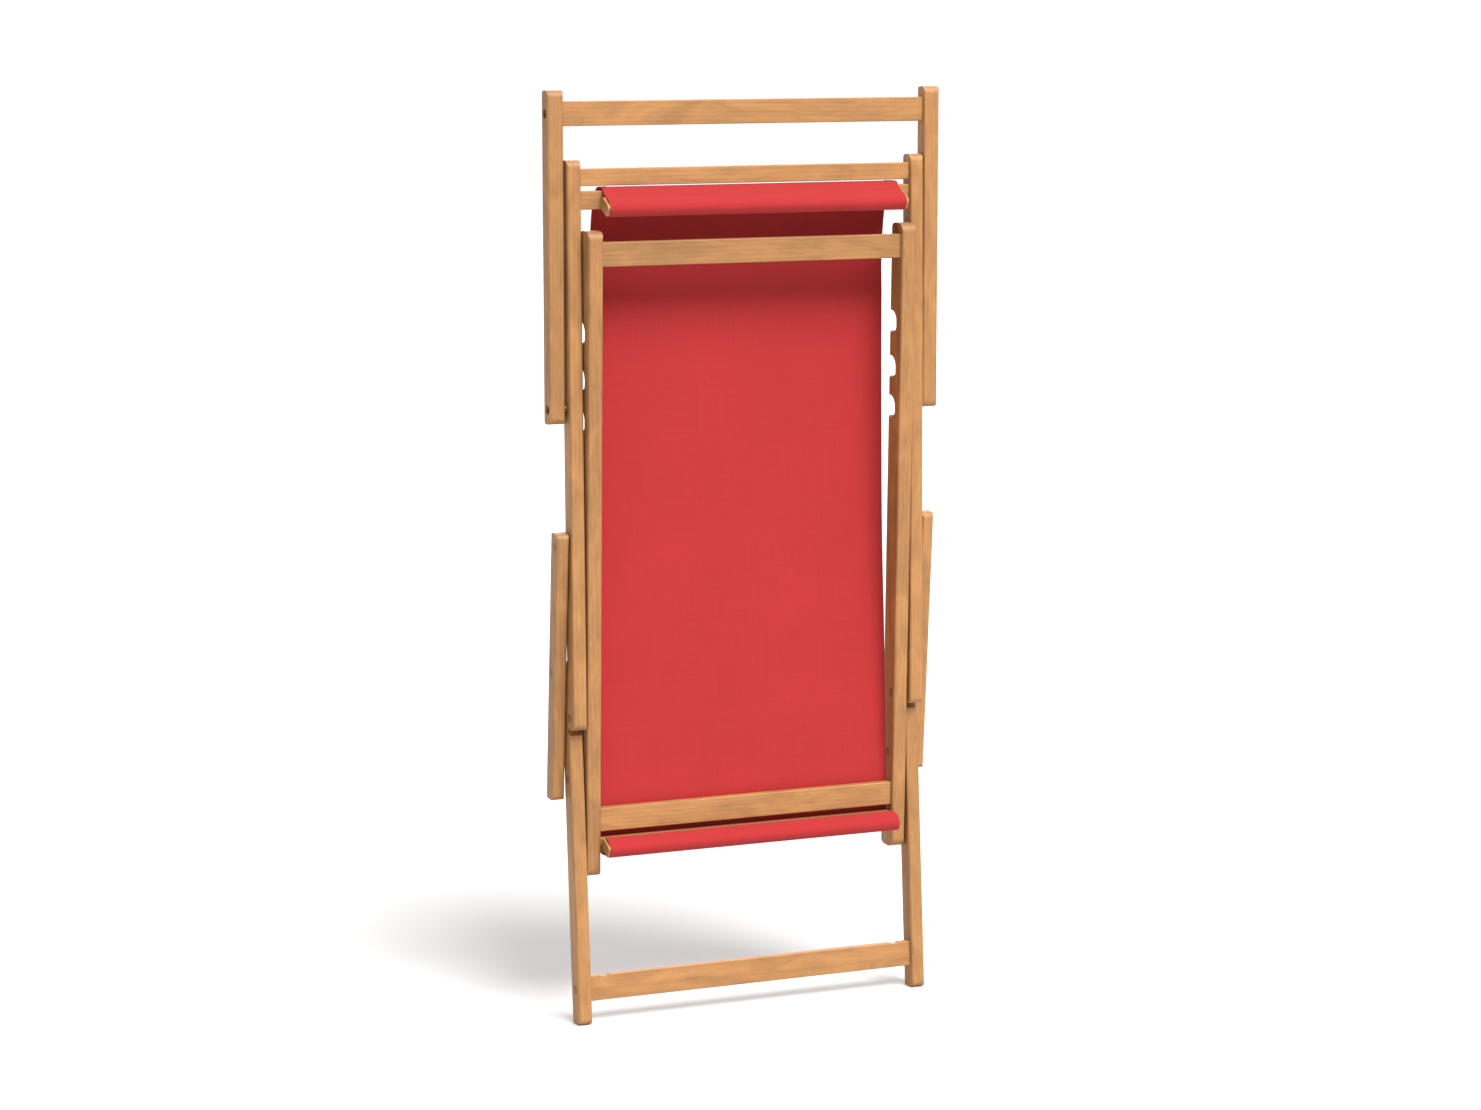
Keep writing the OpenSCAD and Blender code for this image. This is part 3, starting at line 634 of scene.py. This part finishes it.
def cloth_point(x, run, lift):
    """Place and directions on the cloth, x from its middle and run along it, raised by lift."""
    c = np.clip((x / cloth_width + 0.5) * columns, 0, columns - 1e-6)
    r = np.clip(np.interp(run, row_run, np.arange(row_count)), 0, row_count - 1 - 1e-6)
    i, j = int(r), int(c)
    fr, fc = r - i, c - j

    def mix(field):
        return ((field[i, j] * (1 - fc) + field[i, j + 1] * fc) * (1 - fr)
                + (field[i + 1, j] * (1 - fc) + field[i + 1, j + 1] * fc) * fr)

    out = mix(faces_out)
    return mix(grid) + out * lift, mix(along_cloth), mix(over_cloth), out


thick = sling.modifiers.new("thickness", "SOLIDIFY")
thick.thickness = cloth_thickness
thick.offset = 0
apply_all(sling)
select_only(sling)
bpy.ops.object.shade_smooth_by_angle(angle=math.radians(50))


def canvas():
    """Heavy plain-woven acrylic canvas, dyed red: matt, with a faint cross weave and slubs."""
    weave_cloth = bpy.data.materials.new("red woven canvas")
    weave_cloth.use_nodes = True
    tree = weave_cloth.node_tree
    shader = tree.nodes["Principled BSDF"]
    threads = add_node(tree, "ShaderNodeUVMap", uv_map="cloth")
    # real threads are 0.6 mm apart: they are drawn at 1.5 mm so that the weave shows
    thread_pitch = 0.0015
    wave_scale = math.pi / 10 / thread_pitch
    warp = add_node(tree, "ShaderNodeTexWave", {"Vector": threads.outputs[0],
                                                "Scale": wave_scale, "Distortion": 0.4,
                                                "Detail Scale": 3.0},
                    wave_type="BANDS", bands_direction="X")
    weft = add_node(tree, "ShaderNodeTexWave", {"Vector": threads.outputs[0],
                                                "Scale": wave_scale, "Distortion": 0.4,
                                                "Detail Scale": 3.0},
                    wave_type="BANDS", bands_direction="Y")
    weave = add_node(tree, "ShaderNodeMath", {0: warp.outputs["Fac"], 1: weft.outputs["Fac"]},
                     operation="MULTIPLY")
    slub_warp_lines = add_node(tree, "ShaderNodeMapping", {"Vector": threads.outputs[0],
                                                           "Scale": (1, 0.02, 1)})
    slub_warp = add_node(tree, "ShaderNodeTexNoise", {"Vector": slub_warp_lines.outputs[0],
                                                      "Scale": 420.0, "Detail": 2.0})
    slub_weft_lines = add_node(tree, "ShaderNodeMapping", {"Vector": threads.outputs[0],
                                                           "Scale": (0.03, 1, 1)})
    slub_weft = add_node(tree, "ShaderNodeTexNoise", {"Vector": slub_weft_lines.outputs[0],
                                                      "Scale": 420.0, "Detail": 2.0})
    slubs = add_node(tree, "ShaderNodeMath", {0: slub_warp.outputs["Fac"],
                                              1: slub_weft.outputs["Fac"]}, operation="ADD")
    clouds = add_node(tree, "ShaderNodeTexNoise", {"Vector": threads.outputs[0],
                                                   "Scale": 9.0, "Detail": 3.0})
    slub_tone = add_node(tree, "ShaderNodeMapRange", {"Value": slubs.outputs[0],
                                                      "From Min": 0.8, "From Max": 1.2,
                                                      "To Min": 0.96, "To Max": 1.02})
    weave_tone = add_node(tree, "ShaderNodeMapRange", {"Value": weave.outputs[0],
                                                       "To Min": 0.90, "To Max": 1.05})
    cloud_tone = add_node(tree, "ShaderNodeMapRange", {"Value": clouds.outputs["Fac"],
                                                       "From Min": 0.3, "From Max": 0.7,
                                                       "To Min": 0.965, "To Max": 1.02})
    shade = slub_tone
    for next_tone in (weave_tone, cloud_tone):
        shade = add_node(tree, "ShaderNodeMath", {0: shade.outputs[0],
                                                  1: next_tone.outputs[0]},
                         operation="MULTIPLY")
    dye = linear("#A02527")
    tinted = add_node(tree, "ShaderNodeVectorMath", {0: dye[:3], "Scale": shade.outputs[0]},
                      operation="SCALE")
    tree.links.new(tinted.outputs[0], shader.inputs["Base Color"])
    shader.inputs["Roughness"].default_value = 0.9
    shader.inputs["Specular IOR Level"].default_value = 0.25
    shader.inputs["Sheen Weight"].default_value = 0.06
    shader.inputs["Sheen Roughness"].default_value = 0.5
    height = add_node(tree, "ShaderNodeMath", {0: weave.outputs[0], 1: slubs.outputs[0]},
                      operation="ADD")
    bump = add_node(tree, "ShaderNodeBump", {"Height": height.outputs[0], "Strength": 0.35,
                                             "Distance": 0.0003})
    tree.links.new(bump.outputs[0], shader.inputs["Normal"])
    return weave_cloth


canvas_cloth = canvas()
give_finish(sling, canvas_cloth)


# ---- Sling hems and stitches ----
# The long edges are folded over 12 mm on the sitting side and sewn down with one row of
# thread. Two rows close each sleeve. The thread is the cloth's own red, slightly glossy.
hem_width = 0.012
hem_thickness = 0.0008
hem_short_of_end = 0.125
behind_rail = int(np.argmax(row_place[:, 0] > slot_rail_high.y))
hem_run = (float(row_run[behind_rail + 2]), cloth_length - hem_short_of_end)
hem_lift = cloth_thickness / 2 + 0.0005
hem_steps = 150
hems = []
for side in (-1, 1):
    deselect()
    bpy.ops.mesh.primitive_grid_add(x_subdivisions=3, y_subdivisions=hem_steps, size=1)
    hem = bpy.context.object
    hem.name = "sling_hem_" + ("left" if side < 0 else "right")
    hem_map = hem.data.uv_layers[0]
    hem_map.name = "cloth"
    places = []
    for v in hem.data.vertices:
        x = side * (cloth_width / 2 - (v.co.x + 0.5) * hem_width)
        run = hem_run[0] + (v.co.y + 0.5) * (hem_run[1] - hem_run[0])
        places.append((x, run))
    for loop in hem.data.loops:
        x, run = places[loop.vertex_index]
        hem_map.data[loop.index].uv = (x + cloth_width / 2, run)
    for v, (x, run) in zip(hem.data.vertices, places):
        v.co = cloth_point(x, run, hem_lift)[0]
    thick = hem.modifiers.new("thickness", "SOLIDIFY")
    thick.thickness = hem_thickness
    thick.offset = 0
    soft = hem.modifiers.new("soft edge", "BEVEL")
    soft.width = 0.0003
    soft.segments = 2
    soft.limit_method = "ANGLE"
    apply_all(hem)
    select_only(hem)
    bpy.ops.object.shade_smooth_by_angle(angle=math.radians(50))
    give_finish(hem, canvas_cloth)
    hems.append(hem)


def sewing_thread():
    """Bonded polyester thread in the cloth's red, twisted and faintly glossy."""
    twist = bpy.data.materials.new("red sewing thread")
    twist.use_nodes = True
    tree = twist.node_tree
    shader = tree.nodes["Principled BSDF"]
    here = add_node(tree, "ShaderNodeTexCoord")
    plies = add_node(tree, "ShaderNodeTexWave", {"Vector": here.outputs["Object"],
                                                 "Scale": 260.0}, bands_direction="DIAGONAL")
    ramp = add_node(tree, "ShaderNodeValToRGB", {"Fac": plies.outputs["Fac"]})
    ramp.color_ramp.elements[0].color = linear("#84201F")
    ramp.color_ramp.elements[1].color = linear("#A8302F")
    tree.links.new(ramp.outputs["Color"], shader.inputs["Base Color"])
    shader.inputs["Roughness"].default_value = 0.5
    bump = add_node(tree, "ShaderNodeBump", {"Height": plies.outputs["Fac"], "Strength": 0.4,
                                             "Distance": 0.0001})
    tree.links.new(bump.outputs[0], shader.inputs["Normal"])
    return twist


def steady_order(mesh):
    """A small mesh's corners and faces, sorted by place, because a new sphere's order varies."""
    order = sorted(range(len(mesh.vertices)),
                   key=lambda i: [round(c, 6) for c in mesh.vertices[i].co])
    new_number = {old: new for new, old in enumerate(order)}
    faces = []
    for polygon in mesh.polygons:
        face = [new_number[i] for i in polygon.vertices]
        # a face starts at its lowest corner, and a quad keeps the diagonal that it is split on
        first = (0 if face[0] < face[2] else 2) if len(face) == 4 else face.index(min(face))
        faces.append(face[first:] + face[:first])
    return np.array([mesh.vertices[i].co for i in order]), sorted(faces)


def stitch_row(name, start, end, lift):
    """Stitches of thread from one place on the cloth to another, each (x, run)."""
    pitch, length, width, flatness = 0.004, 0.0031, 0.0008, 0.7
    span = math.dist(start, end)
    count = int(span / pitch)
    deselect()
    bpy.ops.mesh.primitive_uv_sphere_add(segments=6, ring_count=5, radius=0.5)
    first = bpy.context.object
    shape, shape_faces = steady_order(first.data)
    bpy.data.objects.remove(first)
    points, faces = [], []
    for k in range(count):
        t = (k + 0.5) / count
        x, run = start[0] + (end[0] - start[0]) * t, start[1] + (end[1] - start[1]) * t
        middle, lengthways, crossways, out = cloth_point(x, run, lift)
        forward = lengthways if abs(end[1] - start[1]) > abs(end[0] - start[0]) else crossways
        forward = forward / np.linalg.norm(forward)
        beside = np.cross(out, forward)
        base = len(points)
        for p in shape:
            points.append(middle + forward * p[2] * length + beside * p[0] * width
                          + out * p[1] * width * flatness)
        faces += [[base + i for i in f] for f in shape_faces]
    mesh = bpy.data.meshes.new(name)
    mesh.from_pydata([tuple(p) for p in points], [], faces)
    mesh.update()
    row = bpy.data.objects.new(name, mesh)
    bpy.context.scene.collection.objects.link(row)
    select_only(row)
    bpy.ops.object.shade_smooth()
    return row


thread = sewing_thread()
thread_lift = 0.0006
seam_to_fold = 0.0025
seam_end_clear = 0.004
row_gap = 0.0035
bottom_seam_from_end = 0.105
hem_top = hem_lift + thread_lift
seam_inset = hem_width - seam_to_fold
edge = cloth_width / 2 - seam_end_clear
top_seam_run = float(row_run[int(np.argmin(np.linalg.norm(row_place - leaves_rod, axis=1)))])
bottom_seam_run = cloth_length - bottom_seam_from_end
stitches = []
for side, side_name in ((-1, "left"), (1, "right")):
    x = side * (cloth_width / 2 - seam_inset)
    stitches.append(stitch_row("hem_stitches_" + side_name, (x, hem_run[0]), (x, hem_run[1]),
                               hem_top))
for number in (1, 2):
    run = top_seam_run + row_gap * number
    stitches.append(stitch_row(f"top_sleeve_stitches_{number}", (-edge, run), (edge, run),
                               cloth_thickness / 2))
    run = bottom_seam_run - row_gap * number
    stitches.append(stitch_row(f"bottom_sleeve_stitches_{number}", (-edge, run), (edge, run),
                               cloth_thickness / 2))
for row in stitches:
    give_finish(row, thread)

# the sling, its hems and its stitches keep their places in their own meshes, in place of the CAD
# sling pieces
for piece in [sling] + hems + stitches:
    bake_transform(piece)
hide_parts("sling_back", "sling_seat")
